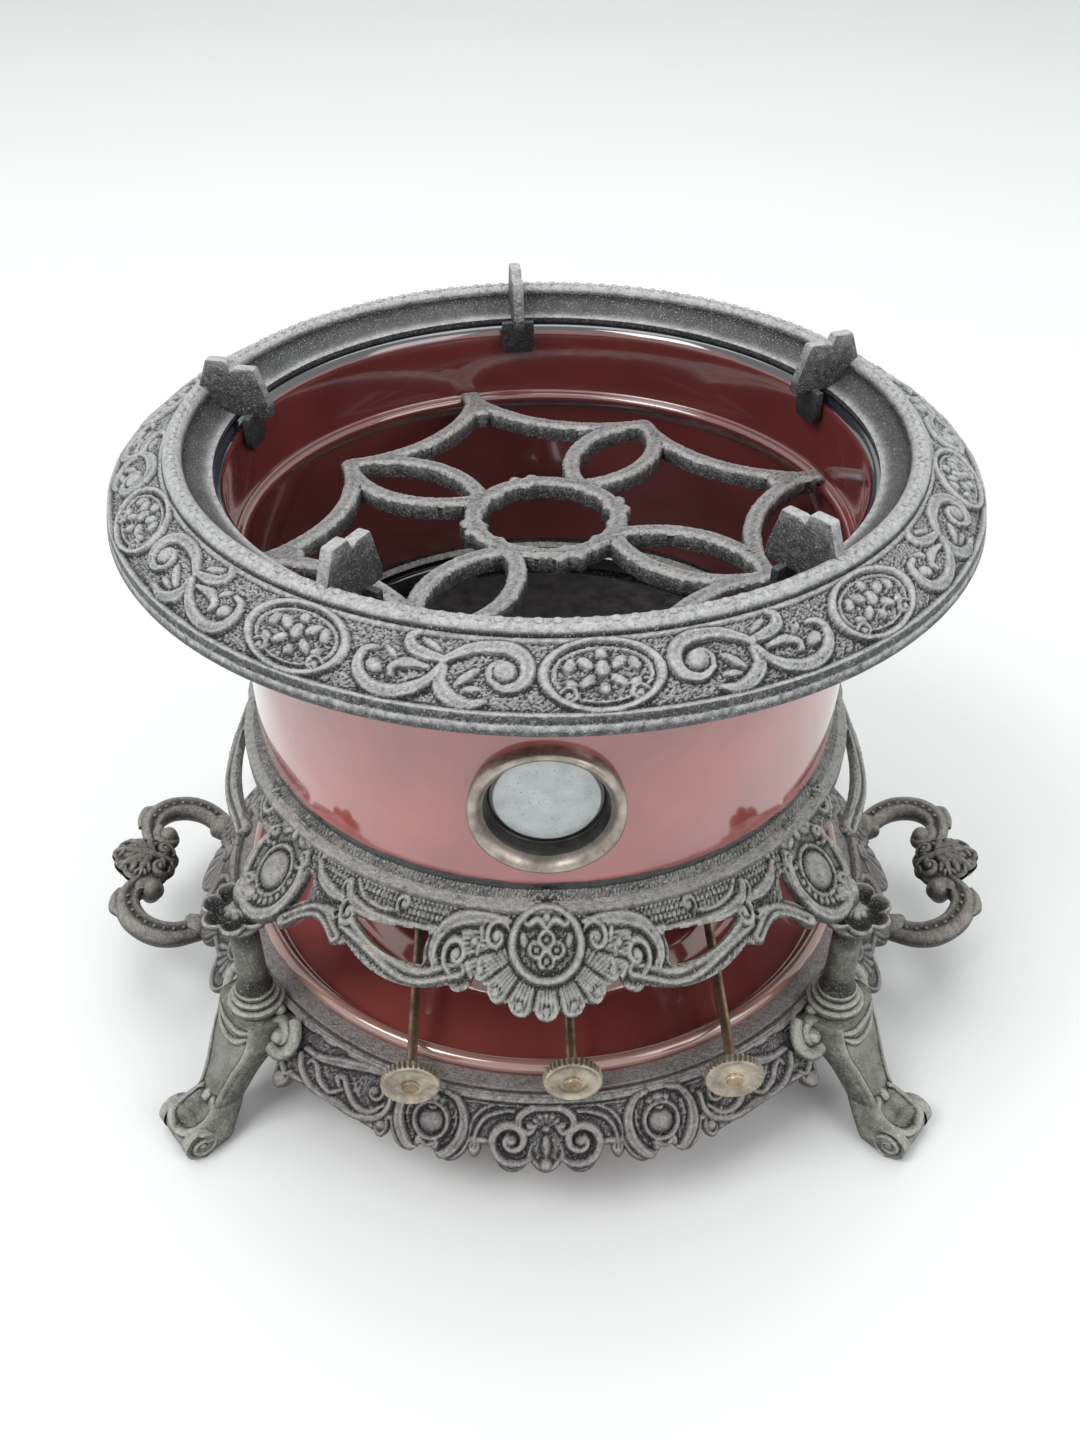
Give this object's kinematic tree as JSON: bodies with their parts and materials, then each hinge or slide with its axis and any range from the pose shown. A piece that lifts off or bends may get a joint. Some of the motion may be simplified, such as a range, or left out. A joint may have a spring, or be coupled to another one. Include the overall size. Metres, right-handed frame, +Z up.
{
  "type": "oil stove",
  "caption": "Antique round oil stove: cast iron base, legs and top ring, red enamelled drum with a window, lift-out grate, flat wicks and brass knobs.",
  "frame": {"origin": "on the floor at the centre of the stove, on the drum's axis", "axes": "+Z up; -Y is the front with the window and the knobs; +X to the right seen from the front"},
  "size_m": [0.4082, 0.322, 0.28],
  "materials": {
    "bronzed_iron": "satin bronzed cast relief",
    "dark_iron": "satin dark cast relief",
    "grey_iron": "dull sandy grey, heat worn",
    "bolt_steel": "dull",
    "red_enamel": "glossy dark red enamel",
    "aged_brass": "aged, worn bright on the edges",
    "spindle_steel": "rusty brown",
    "window_mica": "pale cloudy mica",
    "burner_brass": "dull, smoked",
    "burnt_sheet": "heat darkened",
    "wick_cotton": "woven cotton",
    "gasket_rubber": "matt"
  },
  "bodies": {
    "stand": {"base_ring": "bronzed_iron", "upper_frame": "bronzed_iron", "leg_front_left": "bronzed_iron", "leg_front_right": "bronzed_iron", "leg_rear_left": "bronzed_iron", "leg_rear_right": "bronzed_iron", "column_front_left": "bronzed_iron", "column_front_right": "bronzed_iron", "column_rear_left": "bronzed_iron", "column_rear_right": "bronzed_iron", "tie_bolts": "bolt_steel", "leg_bolts": "bolt_steel", "handle_left": "dark_iron", "handle_right": "dark_iron", "handle_bolts": "bolt_steel", "tank_pan": "red_enamel", "tank_top": "red_enamel", "filler_neck": "aged_brass", "wick_tube_left": "burner_brass", "wick_tube_middle": "burner_brass", "wick_tube_right": "burner_brass", "gland_left": "aged_brass", "gland_middle": "aged_brass", "gland_right": "aged_brass"},
    "drum": {"drum_shell": "red_enamel", "window_bezel": "aged_brass", "window_glass": "window_mica", "window_retainer": "aged_brass"},
    "top_ring": {"top_ring": "grey_iron"},
    "grate": {"grate": "grey_iron"},
    "flame_plate": {"flame_plate": "burnt_sheet", "draught_gallery": "burner_brass"},
    "filler_seal": {"filler_gasket": "gasket_rubber"},
    "filler_cap": {"filler_cap": "aged_brass"},
    "winder_left": {"spindle_left": "spindle_steel", "knob_left": "aged_brass"},
    "wick_left": {"wick_left": "wick_cotton"},
    "winder_middle": {"spindle_middle": "spindle_steel", "knob_middle": "aged_brass"},
    "wick_middle": {"wick_middle": "wick_cotton"},
    "winder_right": {"spindle_right": "spindle_steel", "knob_right": "aged_brass"},
    "wick_right": {"wick_right": "wick_cotton"}
  },
  "joints": [
    {"name": "drum_lift", "type": "slide", "parent": "stand", "child": "drum", "axis": [0, 0, 1], "range_m": [0, 0.12]},
    {"name": "top_ring_lift", "type": "slide", "parent": "drum", "child": "top_ring", "axis": [0, 0, 1], "range_m": [0, 0.04]},
    {"name": "grate_lift", "type": "slide", "parent": "drum", "child": "grate", "axis": [0, 0, 1], "range_m": [0, 0.06]},
    {"name": "flame_plate_lift", "type": "slide", "parent": "stand", "child": "flame_plate", "axis": [0, 0, 1], "range_m": [0, 0.06]},
    {"name": "filler_rise", "type": "slide", "parent": "stand", "child": "filler_seal", "axis": [0, 0, 1], "range_m": [0, 0.006]},
    {"name": "filler_turn", "type": "hinge", "parent": "filler_seal", "child": "filler_cap", "pos_m": [-0.00289, 0.11046, 0.0675], "axis": [0, 0, 1], "range_deg": [0, 1080]},
    {"name": "winder_turn_left", "type": "hinge", "parent": "stand", "child": "winder_left", "pos_m": [-0.05428, -0.00142, 0.0697], "axis": [-0.0262, 0.9997, 0], "range_deg": [0, 150]},
    {"name": "wick_rise_left", "type": "slide", "parent": "stand", "child": "wick_left", "axis": [0, 0, 1], "range_m": [0, 0.01]},
    {"name": "winder_turn_middle", "type": "hinge", "parent": "stand", "child": "winder_middle", "pos_m": [0.0061, 0.00016, 0.0697], "axis": [-0.0262, 0.9997, 0], "range_deg": [0, 150]},
    {"name": "wick_rise_middle", "type": "slide", "parent": "stand", "child": "wick_middle", "axis": [0, 0, 1], "range_m": [0, 0.01]},
    {"name": "winder_turn_right", "type": "hinge", "parent": "stand", "child": "winder_right", "pos_m": [0.06648, 0.00174, 0.0697], "axis": [-0.0262, 0.9997, 0], "range_deg": [0, 150]},
    {"name": "wick_rise_right", "type": "slide", "parent": "stand", "child": "wick_right", "axis": [0, 0, 1], "range_m": [0, 0.01]}
  ],
  "couplings": [
    {"joint": "filler_rise", "follows": "filler_turn", "m_per_rad": 0.0003183},
    {"joint": "wick_rise_left", "follows": "winder_turn_left", "m_per_rad": 0.0038},
    {"joint": "wick_rise_middle", "follows": "winder_turn_middle", "m_per_rad": 0.0038},
    {"joint": "wick_rise_right", "follows": "winder_turn_right", "m_per_rad": 0.0038}
  ]
}
